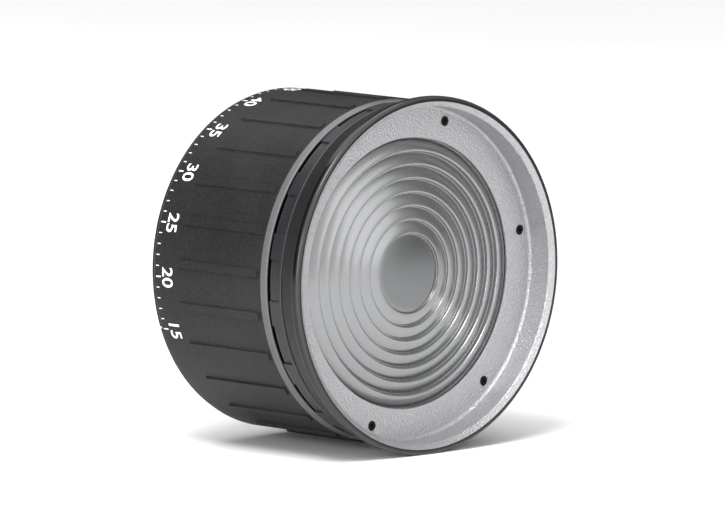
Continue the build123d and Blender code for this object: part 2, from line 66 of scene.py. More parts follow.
# %% [markdown]
# The camera comes first, so that everything after it can be judged. A very long lens from five metres away
# keeps the two ends of the barrel almost the same size, as product pictures do. The three axes of the camera
# are worked out from where it stands and what it looks along, with Z kept up.

# %% Camera
forward = Vector((0.67815, 0.72528, -0.11868)).normalized()
right = forward.cross(Vector((0, 0, 1))).normalized()
up = right.cross(forward)
camera = bpy.data.objects.new("studio_camera", bpy.data.cameras.new("studio_camera"))
bpy.context.scene.collection.objects.link(camera)
camera.data.lens, camera.data.sensor_width = 496.55, 36.0  # both in millimetres
camera.data.clip_start, camera.data.clip_end = 0.1, 60.0
camera.matrix_world = Matrix((right, up, -forward)).transposed().to_4x4()
camera.location = (-3.6358, -3.9643, 0.6389)
bpy.context.scene.camera = camera
print("camera distance in metres:", round(camera.location.length, 3))

# %% [markdown]
# A finish is a small network of nodes. Two helpers are enough for all of them: one turns the usual hex
# colours into the linear values that shaders work with, and one adds a node with its settings and links.

# %% Colour and node helpers


def linear(colour):
    """An sRGB hex colour as linear RGBA: each channel c becomes ((c + 0.055) / 1.055) to the power 2.4."""
    channels = [int(colour[i : i + 2], 16) / 255 for i in (1, 3, 5)]
    return [c / 12.92 if c <= 0.04045 else ((c + 0.055) / 1.055) ** 2.4 for c in channels] + [1.0]


def add(finish, kind, inputs=None, **settings):
    """Add a node: settings are its own choices, inputs are numbers, colours or another node's output."""
    node = finish.node_tree.nodes.new("ShaderNode" + kind)
    for name, value in settings.items():
        setattr(node, name, value)
    for socket, value in (inputs or {}).items():
        if isinstance(value, bpy.types.NodeSocket):
            finish.node_tree.links.new(value, node.inputs[socket])
        else:
            node.inputs[socket].default_value = value
    return node


def new_finish(name):
    """An empty material, and the Object coordinates that its patterns are laid out in, in metres."""
    finish = bpy.data.materials.new(name)
    finish.use_nodes = True
    finish.node_tree.nodes.clear()
    return finish, add(finish, "TexCoord").outputs["Object"]


def shade(finish, **sockets):
    """End a finish with its one Principled shader. Its sockets are given with _ for each space."""
    inputs = {name.replace("_", " "): value for name, value in sockets.items()}
    shader = add(finish, "BsdfPrincipled", inputs)
    add(finish, "OutputMaterial", {"Surface": shader.outputs["BSDF"]})
    return finish


def tones(finish, factor, dark, light, low=0.35, high=0.65):
    """A ramp from a dark to a light hex colour between two values of a factor."""
    ramp = add(finish, "ValToRGB", {"Fac": factor})
    for stop, place, colour in zip(ramp.color_ramp.elements, (low, high), (dark, light)):
        stop.position, stop.color = place, linear(colour)
    return ramp.outputs["Color"]


def grains(size):
    """A noise or Voronoi scale that gives grains of a size in millimetres."""
    return 1.0 / (size * MM)


finishes = {}


def grained(slot, name, dark, light, size, depth, rub_and_highlight="#6a6a6a", wear_and_highlight=0.0, strength=0.5, **sockets):
    """A finish in two close tones with a fine grain: size and depth of the grain are in millimetres."""
    finish, place = new_finish(name)
    grain = add(finish, "TexNoise", {"Vector": place, "Scale": grains(size), "Detail": 3.0, "Roughness": 0.6})
    cloud = add(finish, "TexNoise", {"Vector": place, "Scale": grains(40 * size), "Detail": 2.0})
    parts = {0: cloud.outputs["Fac"], 1: 0.25, 2: grain.outputs["Fac"]}
    both = add(finish, "Math", parts, operation="MULTIPLY_ADD")
    body = tones(finish, both.outputs[0], dark, light, 0.5, 0.75)
    # Wear and painted highlight: outward edges are mixed towards a lighter colour, partly as wear and partly as a
    # painted highlight.
    edge_wear_and_highlight = add(finish, "Attribute", attribute_name="edge_wear_and_highlight")
    edge_rub_and_highlight_share = add(finish, "Math", {0: edge_wear_and_highlight.outputs["Fac"], 1: wear_and_highlight}, operation="MULTIPLY")
    tint = add(finish, "Mix", {0: edge_rub_and_highlight_share.outputs[0], 6: body, 7: linear(rub_and_highlight)}, data_type="RGBA")
    relief = add(finish, "Bump", {"Height": grain.outputs["Fac"], "Strength": strength, "Distance": depth * MM})
    finishes[slot] = shade(finish, Base_Color=tint.outputs[2], Normal=relief.outputs[0], **sockets)
    return finishes[slot]


print("white is", linear("#ffffff")[:3])

# %% [markdown]
# The barrel and the rear cover are moulded in dark grey nylon. The tool was spark-eroded, which leaves a fine
# even grain that turns sharp highlights into a soft sheen. A real grain is under half a millimetre. Here it is
# 0.85 mm, so that it still shows from five metres. The outward edges of the turned pieces are mixed towards a
# lighter colour, partly as wear from hands and partly as a painted highlight. The trim ring and the vent ring are
# aluminium: one is painted satin grey, the other is blasted and anodised, so it stays a little metallic under a
# bluish grey skin.

# %% Moulded and coated finishes
grained(
    "textured_plastic",
    "spark_textured_nylon",
    "#171718",
    "#272728",
    size=0.85,
    depth=0.30,
    rub_and_highlight="#5a5a5a",
    wear_and_highlight=0.5,
    Roughness=0.48,
    Specular_IOR_Level=0.15,
    IOR=1.53,
)
grained(
    "trim_paint",
    "satin_grey_paint",
    "#49494b",
    "#535355",
    size=0.35,
    depth=0.03,
    rub_and_highlight="#77777a",
    wear_and_highlight=0.6,
    Roughness=0.4,
    IOR=1.5,
)
grained(
    "vent_anodised",
    "blasted_anodised_aluminium",
    "#1c1d20",
    "#252629",
    size=0.25,
    depth=0.03,
    rub_and_highlight="#66676c",
    wear_and_highlight=0.5,
    Roughness=0.42,
    Metallic=0.3,
)

# %% [markdown]
# The pieces inside and behind need less. Tubes and rings are aluminium anodised black. The sliding parts are
# acetal, a slippery plastic that is machined from bar. Screws are zinc plated, or blackened in a bath of hot
# salts. The felt is pressed wool, and its loose fibres catch light from the side, which is what sheen does.

# %% Inner finishes
grained(
    "black_anodised",
    "black_anodised_aluminium",
    "#0d0d0e",
    "#161617",
    size=0.30,
    depth=0.02,
    rub_and_highlight="#3a3a3c",
    wear_and_highlight=0.3,
    Roughness=0.45,
    Metallic=0.3,
)
grained(
    "black_screw",
    "black_oxide_steel",
    "#020202",
    "#050505",
    size=0.30,
    depth=0.02,
    rub_and_highlight="#141415",
    wear_and_highlight=0.3,
    Roughness=0.6,
    Specular_IOR_Level=0.2,
)
for slot, name, dark, light, size, depth, gloss in (
    ("cam_plastic", "machined_black_acetal", "#151516", "#1e1e1f", 0.60, 0.02, {"Roughness": 0.38, "IOR": 1.48}),
    ("low_friction_plastic", "ivory_acetal", "#cfcab9", "#dcd8c9", 0.80, 0.02, {"Roughness": 0.4, "IOR": 1.48}),
    ("white_plastic", "white_moulded_plastic", "#dddbd3", "#ecebe5", 0.60, 0.02, {"Roughness": 0.4, "IOR": 1.49}),
    ("black_rubber", "moulded_black_rubber", "#0d0d0d", "#171717", 0.40, 0.05, {"Roughness": 0.62, "IOR": 1.52}),
    ("zinc_steel", "zinc_plated_steel", "#a3a6a8", "#b9bbbc", 0.50, 0.02, {"Roughness": 0.32, "Metallic": 1.0}),
    ("printed_ink", "screen_printed_white_ink", "#d9d9d8", "#eeeeed", 0.30, 0.01, {"Roughness": 0.45, "IOR": 1.5}),
):
    grained(slot, name, dark, light, size, depth, **gloss)
felt = {"strength": 0.9, "Roughness": 0.95, "Sheen_Weight": 0.3}
grained("black_felt", "pressed_wool_felt", "#080808", "#1d1d1d", size=0.25, depth=0.30, **felt)
print(len(finishes), "finishes so far")

# %% [markdown]
# The bezel is cast aluminium with a black powder coat. The coat keeps a fine pimpled skin on the taper, but
# the lip was polished and lacquered, so it is smooth and glossy. A mask on Y separates the two: it is 1 in
# front of the step behind the lip and 0 behind it. The pimples are 0.8 mm here, which is coarser than life, so
# that they show.

# %% Powder coat with a glossy lip
LIP_STEP, LIP_FRONT = -0.1232, -0.1240  # Y of the mask's two ends, in metres
finish, place = new_finish("black_powder_coat_gloss_lip")
along = add(finish, "SeparateXYZ", {0: place}).outputs["Y"]
lip = add(finish, "MapRange", {"Value": along, "From Min": LIP_STEP, "From Max": LIP_FRONT}).outputs[0]
pimple = add(finish, "TexNoise", {"Vector": place, "Scale": grains(0.80), "Detail": 2.0, "Roughness": 0.7})
speck = tones(finish, pimple.outputs["Fac"], "#050505", "#191919", 0.35, 0.70)
# Wear and painted highlight: the rounded edges of the bezel are mixed towards a lighter grey.
edge_wear_and_highlight = add(finish, "Attribute", attribute_name="edge_wear_and_highlight")
lacquer = add(finish, "Mix", {0: lip, 6: speck, 7: linear("#0b0b0c")}, data_type="RGBA")
edge_rub_and_highlight_share = add(finish, "Math", {0: edge_wear_and_highlight.outputs["Fac"], 1: 0.35}, operation="MULTIPLY")
tint = add(finish, "Mix", {0: edge_rub_and_highlight_share.outputs[0], 6: lacquer.outputs[2], 7: linear("#58585a")}, data_type="RGBA")
rough = add(finish, "MapRange", {"Value": lip, "To Min": 0.50, "To Max": 0.16}).outputs[0]
depth = add(finish, "MapRange", {"Value": lip, "To Min": 0.8, "To Max": 0.01}).outputs[0]
relief = add(finish, "Bump", {"Height": pimple.outputs["Fac"], "Strength": depth, "Distance": 0.0004})
finishes["bezel_paint"] = shade(
    finish,
    Base_Color=tint.outputs[2],
    Roughness=rough,
    Normal=relief.outputs[0],
    IOR=1.5,
    Specular_IOR_Level=0.3,
)

# %% [markdown]
# The dish is spun aluminium sprayed with silver paint. Sprayed paint dries with a skin like orange peel, here
# lumps of 1.3 mm, and its metal flakes sparkle. Both are drawn a little coarser than life, so that they
# still show from five metres.

# %% Silver paint with orange peel
finish, place = new_finish("sprayed_silver_paint")
peel = add(finish, "TexNoise", {"Vector": place, "Scale": grains(1.3), "Detail": 2.0, "Roughness": 0.5})
flake = add(finish, "TexVoronoi", {"Vector": place, "Scale": grains(0.45)})
shine = tones(finish, flake.outputs["Color"], "#97979a", "#ababad", 0.2, 0.8)
parts = {0: flake.outputs["Distance"], 1: 0.12, 2: peel.outputs["Fac"]}
both = add(finish, "Math", parts, operation="MULTIPLY_ADD")
relief = add(finish, "Bump", {"Height": both.outputs[0], "Strength": 1.0, "Distance": 0.0006})
finishes["silver_dish"] = shade(finish, Base_Color=shine, Metallic=0.65, Roughness=0.34, Normal=relief.outputs[0])

# %% [markdown]
# The bayonet plate is nickel-plated steel, faced on a lathe. The tool leaves rings about the axis. A wave
# texture in rings about Y gives them, with a noise that keeps them from being perfect. The wave repeats every
# 2 pi / 20 of its scale length, so a length of 3.2 mm puts the rings 1 mm apart. A lathe's own marks are some
# five times finer than that, and wouldn't show.

# %% Faced and plated steel
finish, place = new_finish("lathe_faced_nickel_steel")
wave = add(
    finish,
    "TexWave",
    {"Vector": place, "Scale": grains(3.2), "Distortion": 0.6, "Detail": 2.0, "Detail Scale": 2.0},
    wave_type="RINGS",
    rings_direction="Y",
)
bright = tones(finish, wave.outputs["Fac"], "#a7a49c", "#c3c0b8", 0.2, 0.8)
relief = add(finish, "Bump", {"Height": wave.outputs["Fac"], "Strength": 0.25, "Distance": 0.00005})
finishes["nickel_steel"] = shade(finish, Base_Color=bright, Metallic=1.0, Roughness=0.3, Normal=relief.outputs[0])

# %% [markdown]
# The big lens is pressed glass. Its rings face the front, and its flat back is stippled, which blurs the lamp's
# image. So it passes light but no clear picture, and looks like grey satin. Its base colour is painted darker in
# the dome than on the rings: that is painted shade, not a colour of the glass. Real glass is not metallic. The
# shader is made partly metallic here, as a shortcut to that satin look without the many bounces inside the glass.
# The collecting lens is polished and stays clear.

# %% Pressed and polished glass
DOME_TONE_END, RING_TONE_START = 0.018, 0.024  # radii between which the two tones blend, in metres
finish, place = new_finish("pressed_stippled_glass")
stipple = add(finish, "TexNoise", {"Vector": place, "Scale": grains(0.45), "Detail": 2.0})
flat = add(finish, "VectorMath", {0: place, 1: (1, 0, 1)}, operation="MULTIPLY").outputs[0]
reach = add(finish, "VectorMath", {0: flat}, operation="LENGTH").outputs["Value"]
blend = {"Value": reach, "From Min": DOME_TONE_END, "From Max": RING_TONE_START}
rings = add(finish, "MapRange", blend).outputs[0]
# Painted shade: the dome's tone is darker than the rings' tone, and the rings mask blends the two.
dome_painted_shade = tones(finish, stipple.outputs["Fac"], "#747576", "#797a7b", 0.3, 0.7)
ring_glass_tone = tones(finish, stipple.outputs["Fac"], "#939495", "#9a9b9c", 0.3, 0.7)
glass_tone_with_painted_dome_shade = add(finish, "Mix", {0: rings, 6: dome_painted_shade, 7: ring_glass_tone}, data_type="RGBA").outputs[2]
relief = add(finish, "Bump", {"Height": stipple.outputs["Fac"], "Strength": 0.04, "Distance": 0.0001})
finishes["lens_glass"] = shade(
    finish,
    Base_Color=glass_tone_with_painted_dome_shade,
    Roughness=0.25,
    IOR=1.5,
    Transmission_Weight=0.5,
    Metallic=0.7,
    Normal=relief.outputs[0],
)
finish, place = new_finish("polished_crown_glass")
flow = add(finish, "TexNoise", {"Vector": place, "Scale": grains(9.0), "Detail": 1.0})
clear = tones(finish, flow.outputs["Fac"], "#eef2f0", "#f8fbfa")
finishes["clear_glass"] = shade(finish, Base_Color=clear, Roughness=0.02, IOR=1.52, Transmission_Weight=1.0)

for name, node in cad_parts.items():
    slot = node.material_slots[0].material.name
    node.material_slots[0].material = finishes[slot]
    node["slot_name"] = slot
print("finishes:", sorted(finishes))

# %% [markdown]
# Nearly every piece is round, so it is an outline turned about the optical axis, Y. An outline is a list of
# corners, each with its radius, its Y and how much of the corner is cut off. Real edges are never knife sharp,
# and a small cut catches a thin line of light.

# %% Outlines and turned surfaces


def rounded(corners, steps=5):
    """Corners (radius, y, cut) with each corner P replaced by a curve from A to B, which lie one cut away from
    it along its two sides: (1 - s)^2 A + 2 s (1 - s) P + s^2 B. Also says how near each point is to the middle
    of an outward corner, from 0 to 1, which is where an edge wears and where a lighter edge is painted as a
    highlight."""
    corners = np.array(corners, float)
    points, cuts = corners[:, :2], corners[:, 2:]
    before, after = np.roll(points, 1, 0) - points, np.roll(points, -1, 0) - points
    start = points + cuts * before / np.linalg.norm(before, axis=1, keepdims=True)
    end = points + cuts * after / np.linalg.norm(after, axis=1, keepdims=True)
    s = np.linspace(0, 1, steps)[None, :, None]
    curve = (1 - s) ** 2 * start[:, None] + 2 * s * (1 - s) * points[:, None] + s**2 * end[:, None]
    turn = before[:, 0] * after[:, 1] - before[:, 1] * after[:, 0]
    way = np.sign(np.sum(points[:, 0] * np.roll(points[:, 1], -1) - points[:, 1] * np.roll(points[:, 0], -1)))
    edge = 4 * s * (1 - s) * ((turn * way < 0) & (cuts[:, 0] > 0))[:, None, None]
    curve, edge = curve.reshape(-1, 2), edge.reshape(-1)
    fresh = np.linalg.norm(curve - np.roll(curve, 1, 0), axis=1) > 1e-6
    return curve[fresh], edge[fresh]


def full_turn(count):
    """Evenly spaced angles once round the axis, with the end left out because it is the start again."""
    return np.linspace(0, 2 * math.pi, count, endpoint=False)


def dress(piece, slot, body, *nodes, finish=None):
    """Give a piece its finish, the body that it rides on and the nodes that it stands for."""
    piece.data.materials.clear()
    piece.data.materials.append(finishes[finish or slot])
    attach(piece, body)
    if nodes:
        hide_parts(*nodes)
    print(f"{piece.name}: {len(piece.data.polygons)} faces on {body}")
    return piece


def turned(name, outline, angles=None, change=None, sharp=40.0, centres=((0, 0),)):
    """Point (r, y) of the outline at angle t goes to (r cos t, y, r sin t), with r changed by a function of the
    grid first where the piece has a relief. The grid closes on itself both ways, and is repeated round each
    centre (x, z)."""
    points, edge = outline
    angles = full_turn(288) if angles is None else angles
    shape = (len(angles), len(points))
    radius, y = np.broadcast_to(points[:, 0], shape), np.broadcast_to(points[:, 1], shape)
    if change:
        radius = change(angles[:, None], radius, y)
    grid = np.stack([radius * np.cos(angles)[:, None], y, radius * np.sin(angles)[:, None]], -1)
    shifts = np.insert(np.array(centres, float), 1, 0, 1)
    grid = (grid + shifts[:, None, None]) * MM
    index = np.arange(grid.size // 3).reshape(grid.shape[:3])
    across, along = np.roll(index, -1, 1), np.roll(index, -1, 2)
    faces = np.stack([index, across, np.roll(across, -1, 2), along], -1).reshape(-1, 4)
    mesh = bpy.data.meshes.new(name)
    mesh.from_pydata(grid.reshape(-1, 3), [], faces)
    # The edge weight is stored per point; the finishes lighten these edges as wear and as a painted highlight.
    mesh.attributes.new("edge_wear_and_highlight", "FLOAT", "POINT").data.foreach_set(
        "value", np.broadcast_to(edge, grid.shape[:3]).astype(np.float32).ravel()
    )
    return closed(name, mesh, sharp)


def closed(name, mesh, sharp=40.0, flip=True):
    """Weld a mesh's doubles, point its faces outwards, smooth it up to an angle and put it in the scene."""
    shell = bmesh.new()
    shell.from_mesh(mesh)
    bmesh.ops.remove_doubles(shell, verts=shell.verts, dist=2e-7)
    bmesh.ops.dissolve_degenerate(shell, dist=1e-7, edges=shell.edges)
    if flip:
        bmesh.ops.recalc_face_normals(shell, faces=shell.faces)
    shell.to_mesh(mesh)
    shell.free()
    mesh.shade_smooth()
    mesh.set_sharp_from_angle(angle=math.radians(sharp))
    piece = bpy.data.objects.new(name, mesh)
    bpy.context.scene.collection.objects.link(piece)
    return piece


def ramp(value, start, end):
    """0 before start, 1 after end, and 3 x^2 - 2 x^3 between them."""
    x = np.clip((value - start) / (end - start), 0, 1)
    return x * x * (3 - 2 * x)


def spaced(count, first, offsets, radius):
    """Columns for a pattern of count repeats: each has the same offsets in mm, on both sides of its middle."""
    offsets = np.array(sorted({-o for o in offsets} | set(offsets)))
    middles = np.radians(first) + np.arange(count)[:, None] * 2 * math.pi / count
    return np.sort((middles + offsets / radius).ravel())


print("a 90 degree corner of 2 mm:", rounded([(0, 0, 0), (5, 0, 2), (5, 5, 0)], 3)[0].round(2).tolist())

# %% [markdown]
# The zoom barrel is the piece that hands hold. It has 25 raised ribs, 5 mm wide and 1.1 mm high, which stop
# short of both ends. The ribs could be modelled one by one and joined. Here they are a relief on the radius
# instead: a rib's height is 1.1 mm times a ramp across it times a ramp along it. The grid has more columns
# and rows just where those ramps are, so that the edges are crisp.

# %% Zoom barrel
RIBS, RIB_FIRST, RIB_HALF, RIB_HEIGHT, RIB_SLOPE = 25, 3.7, 2.5, 1.1, 0.45
BARREL, BARREL_BORE, BARREL_BACK, BARREL_FRONT = 91.9, 89.0, -10.8, -95.0
RIB_BACK, RIB_FRONT = -30.2, -93.0


def pitch_offset(angles, count, first, radius):
    """Distance in mm round the surface from the middle of the nearest repeat."""
    turns = (angles - math.radians(first)) * count / (2 * math.pi)
    return np.abs(turns - np.round(turns)) * 2 * math.pi / count * radius


def ribs(angles, radius, y):
    """1.1 mm times the ramp across a rib times the ramps at its two ends, on the outside only."""
    across = ramp(-pitch_offset(angles, RIBS, RIB_FIRST, BARREL), -RIB_HALF, RIB_SLOPE - RIB_HALF)
    ends = ramp(-y, -RIB_BACK, RIB_SLOPE - RIB_BACK) * ramp(y, RIB_FRONT, RIB_FRONT + RIB_SLOPE)
    return radius + RIB_HEIGHT * across * ends * (radius > BARREL - 0.01)


outline, edge = rounded(
    [
        (BARREL, BARREL_BACK, 0.85),
        (BARREL, BARREL_FRONT, 0.25),
        (90.2, BARREL_FRONT, 0),
        (90.2, -98.0, 0.1),
        (BARREL_BORE, -98.0, 0.1),
        (BARREL_BORE, -12.0, 0),
        (87.3, -12.0, 0.1),
        (87.3, BARREL_BACK, 0.1),
    ]
)
slope = np.array([-0.1, 0.0, 0.11, 0.225, 0.34, RIB_SLOPE, 0.6])
rows = np.sort(np.concatenate([RIB_BACK - slope, RIB_FRONT + slope, np.arange(-90, -14, 6.0)]))[::-1]
first_row = np.flatnonzero((outline[:, 0] > BARREL - 0.001) & (outline[:, 1] > -20))[-1] + 1
outline = np.insert(outline, first_row, np.stack([np.full(len(rows), BARREL), rows], -1), 0)
edge = np.insert(edge, first_row, np.zeros(len(rows)))
offsets = [0, 1.0, 1.9, *(RIB_HALF - slope[::-1]), 3.2, 4.5, 6, 7.5, 9, 10.5]
columns = spaced(RIBS, RIB_FIRST, offsets, BARREL)
barrel = turned("ribbed_zoom_barrel", (outline, edge), columns, ribs)
dress(barrel, "textured_plastic", "barrel", "zoom_barrel")

# %% [markdown]
# A turned trim ring closes the barrel's front. The two meet with a small groove, because both edges are broken.

# %% Trim ring
slant = [(91.9, -95.0, 0.3), (91.05, -98.5, 0.2), (90.7, -98.8, 0.15)]
outline = rounded([(90.2, -95.0, 0), *slant, (90.2, -98.8, 0)])
dress(turned("turned_trim_ring", outline), "trim_paint", "barrel", "barrel_trim_ring")

# %% [markdown]
# The lens cell is a ring with sixteen raised blocks, like the top of a castle wall. Air passes between them
# and carries heat away. The recesses are a relief again: where a recess is, the radius is held down to the
# floor, with a steep ramp at the sides of each block.

# %% Castellated vent ring
BLOCKS, BLOCK_FIRST, BLOCK_HALF, CELL, CELL_FLOOR, COLLAR = 16, 166.9, 7.04, 91.7, 90.5, -108.6


def recesses(angles, radius, y):
    """The radius, held down to the recess floor outside the blocks and behind the collar."""
    open_across = ramp(pitch_offset(angles, BLOCKS, BLOCK_FIRST, CELL), BLOCK_HALF - 0.3, BLOCK_HALF)
    open_along = ramp(y, COLLAR - 0.02, COLLAR + 0.22)
    return radius - np.maximum(radius - CELL_FLOOR, 0) * open_across * open_along


outline, edge = rounded(
    [
        (80.4, -110.6, 0),
        (80.4, -104.2, 0),
        (74.5, -104.2, 0.2),
        (74.5, -101.5, 0.2),
        (90.3, -101.5, 0),
        (CELL, -101.5, 0.3),
        (CELL, -110.6, 0.3),
    ]
)
rows = np.array([-103.5, -106.0, -108.2, -108.36, -108.44, -108.52, -108.6, -108.8, -109.6])
first_row = np.flatnonzero((outline[:, 0] > CELL - 0.001) & (outline[:, 1] > -105))[-1] + 1
outline = np.insert(outline, first_row, np.stack([np.full(len(rows), CELL), rows], -1), 0)
edge = np.insert(edge, first_row, np.zeros(len(rows)))
offsets = [0, 3, 5.5, 6.5, 6.74, 6.82, 6.9, 6.97, 7.04, 7.2, 8.5, 10.5, 12.5, 14.5, 16.5]
cell = turned("castellated_vent_ring", (outline, edge), spaced(BLOCKS, BLOCK_FIRST, offsets, CELL), recesses)
dress(cell, "vent_anodised", "carriage", "vent_ring")

# %% [markdown]
# The bezel is one casting: a taper that swells towards the front, a fine step, and a rounded lip. A turned
# outline does all of it, with more steps in the lip's corner, because its highlight shows every facet.

# %% Front bezel
HOOK, HOOK_FOOT = (93.463, -127.822), (91.0, -125.95)
outline = rounded(
    [
        (93.1, -128.3, 0.15),
        (96.0, -128.3, 2.2),
        (96.0, -123.9, 0.25),
        (95.6, -123.4, 0.2),
        (92.6, -113.3, 0.3),
        (92.6, -113.1, 0),
        (91.9, -113.1, 0),
        (91.9, -112.4, 0.1),
        (91.0, -112.4, 0),
        (*HOOK_FOOT, 0),
        (*HOOK, 0),
    ],
    9,
)
bezel = turned("cast_front_bezel", outline, full_turn(384))
dress(bezel, "bezel_paint", "carriage", "front_bezel")

# %% [markdown]
# Six black countersunk screws hold the dish and the bezel to the cell. Each is a small turned outline with a
# hexagon socket: at angle t a hexagon's side lies at its flat's distance divided by the cosine of the angle
# from the middle of that flat. The same outline round six centres makes all of them in one mesh.

# %% Screws with hexagon sockets


def circle(radius, first, count):
    """Centres (x, z) of a ring of screws."""
    angles = np.radians(first + np.arange(count) * 360 / count)
    return radius * np.stack([np.cos(angles), np.sin(angles)], -1)


def hexagon(size):
    """Make the rows of a given radius six-sided."""

    def change(angles, radius, y):
        from_flat = np.mod(angles, math.pi / 3) - math.pi / 6
        return np.where(np.isclose(radius, size), size * math.cos(math.pi / 6) / np.cos(from_flat), radius)

    return change


SCREW_RING = circle(84.1, 11.5, 6)
screw_turns = full_turn(36)
PLATE_RING = circle(63.0, 30, 6)
head = [(0, -110.77, 0), (1.4, -110.77, 0), (1.4, -111.6, 0), (2.75, -111.6, 0.2), (1.5, -110.35, 0)]
outline = rounded(head + [(1.5, -104.35, 0.2), (0, -104.35, 0)])
screws = turned("countersunk_bezel_screws", outline, screw_turns, hexagon(1.4), 30, SCREW_RING)
dress(screws, "black_screw", "carriage", "bezel_screws")
head = [(0, -1.2, 0), (1.5, -1.2, 0), (1.5, 0, 0.1), (3.4, 0, 0.35), (3.4, -1.8, 0), (1.6, -1.8, 0)]
outline = rounded(head + [(1.6, -6.0, 0.2), (0, -6.0, 0)])
screws = turned("bayonet_socket_screws", outline, screw_turns, hexagon(1.5), 30, PLATE_RING)
dress(screws, "black_screw", "housing", "bayonet_screws")

# %% [markdown]
# The silver dish is one thin spun shell: a flat ring round the lens, a corner of 2 mm, a wall, and a bevel
# that hooks over the bezel's lip. The screw holes are countersunk into it, so a copy of the screws' shape,
# a little larger, is subtracted, and the cutter is then removed.

# %% Silver dish
outline = rounded(
    [
        (72.9, -110.6, 0),
        (72.9, -111.8, 0.25),
        (90.2, -111.8, 2.0),
        (90.2, -126.2, 0.5),
        (93.1, -128.3, 0.15),
        (*HOOK, 0),
        (*HOOK_FOOT, 0),
        (91.0, -112.4, 0),
        (89.2, -110.6, 0),
    ],
    7,
)
liner = turned("spun_silver_dish", outline, full_turn(384))
sink = [(1.55, -109.0, 0), (1.55, -110.35, 0), (2.85, -111.62, 0), (3.0, -113.0, 0)]
sink = rounded([(0, -109.0, 0), *sink, (0, -113.0, 0)])
cutter = turned("sinks", sink, screw_turns, centres=SCREW_RING)
cut = liner.modifiers.new("countersinks", "BOOLEAN")
cut.object, cut.operation, cut.solver = cutter, "DIFFERENCE", "EXACT"
bpy.context.view_layer.update()
holed = bpy.data.meshes.new_from_object(liner.evaluated_get(bpy.context.evaluated_depsgraph_get()))
liner.modifiers.clear()
liner.data = holed
bpy.data.objects.remove(cutter)
holed.shade_smooth()
holed.set_sharp_from_angle(angle=math.radians(40))
dress(liner, "silver_dish", "carriage", "reflector_liner")

# %% [markdown]
# A fresnel lens is a thick lens cut into rings and pushed flat. Each ring keeps its slope, so the slopes fall
# outwards more and more, with a step up to the next ring. Pressing cannot make sharp steps: the glass shrinks
# as it cools, and every crest and valley ends up rounded. So the corners of a saw-tooth outline get cuts that
# are shares of the step between them. The slopes bulge, as slices of a thick lens do: at a share x of the way
# across a ring, the slope has fallen by x to the power 1.6 of its whole fall, so it starts flat and steepens.

# %% Fresnel lens
CREST, DOME, PRISM_EDGE, PRISMS, LENS_FRONT, LENS_BACK = -113.0, 21.3, 72.4, 7, -109.8, -104.8
BULGE, DOME_FALL, LAST_FALL = 1.6, 1.7, 4.1
VALLEY_CUT, CREST_CUT = 0.40, 0.45  # as shares of the step between a valley and the next crest
pitch = (PRISM_EDGE - DOME) / PRISMS
falls = DOME_FALL + (LAST_FALL - DOME_FALL) * np.arange(PRISMS + 1) / PRISMS
ball = (DOME**2 + falls[0] ** 2) / (2 * falls[0])
reach = np.linspace(0, DOME, 16)[:-1]
corners = [(r, CREST + ball - math.sqrt(ball**2 - r**2), 0) for r in reach]
share = np.linspace(0, 1, 9)[2:-1]  # the rounded crest takes the first eighth
for ring in range(PRISMS):
    radius, step, fall = DOME + ring * pitch, falls[ring], falls[ring + 1]
    corners += [(radius, CREST + step, VALLEY_CUT * step), (radius, CREST, CREST_CUT * step)]
    corners += [(radius + pitch * x, CREST + fall * x**BULGE, 0) for x in share]
corners += [(PRISM_EDGE, CREST + falls[-1], 0.35), (PRISM_EDGE, LENS_FRONT, 0.3), (80.0, LENS_FRONT, 0.3)]
corners += [(80.0, LENS_BACK, 0.4), (0, LENS_BACK, 0)]
lens = turned("pressed_fresnel_lens", rounded(corners, 7), full_turn(320), sharp=50)
dress(lens, "lens_glass", "carriage", "fresnel_lens")
print("ring pitch in mm:", round(pitch, 2), "steps:", falls.round(2).tolist())

# %% [markdown]
# At the back a shallow dished cover closes the barrel, and a clear collecting lens sits in a cup in the throat.
# The lens is flat behind and swells forwards as part of a ball: its depth at radius r is R minus the square
# root of R squared less r squared.

# %% Rear cover and collecting lens
outline = rounded(
    [
        (52.4, -3.0, 0.2),
        (84.0, -3.0, 0.5),
        (91.05, -8.6, 0.5),
        (91.05, -10.3, 0.3),
        (89.7, -10.3, 0),
        (89.7, -8.8, 0),
        (87.3, -8.8, 0),
        (87.3, -10.3, 0),
        (86.3, -10.3, 0),
        (86.3, -6.3, 0),
        (52.4, -6.3, 0),
    ]
)
dress(turned("moulded_rear_cover", outline), "textured_plastic", "housing", "rear_cover")
CLEAR, SWELL, CROWN = 43.5, 10.0, -23.8
ball = (CLEAR**2 + SWELL**2) / (2 * SWELL)
corners = [(r, CROWN + ball - math.sqrt(ball**2 - r**2), 0) for r in np.linspace(0, CLEAR, 24)]
outline = rounded(corners + [(46.0, -13.8, 0.3), (46.0, -10.8, 0.3), (0, -10.8, 0)])
collector = turned("polished_collecting_lens", outline, full_turn(192))
dress(collector, "clear_glass", "housing", "condenser_lens")

# %% [markdown]
# The machined parts already have the right shape, but their meshes are loose triangles with knife edges. A
# copy is welded, its flat faces are joined, and a small live bevel breaks every edge.

# %% Softened copies of machined parts


def softened(node, name, body, bevel):
    """A welded copy of a node with a bevel in mm on its edges."""
    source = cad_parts[node]
    mesh = source.data.copy()
    mesh.materials.clear()
    shell = bmesh.new()
    shell.from_mesh(mesh)
    bmesh.ops.remove_doubles(shell, verts=shell.verts, dist=1e-6)
    bmesh.ops.dissolve_limit(shell, angle_limit=math.radians(0.5), verts=shell.verts, edges=shell.edges)
    shell.to_mesh(mesh)
    shell.free()
    piece = closed(name, mesh, 35, flip=False)
    broken = piece.modifiers.new("broken_edges", "BEVEL")
    broken.width, broken.segments, broken.angle_limit = bevel * MM, 2, math.radians(40)
    broken.use_clamp_overlap = True
    return dress(piece, source["slot_name"], body, node)


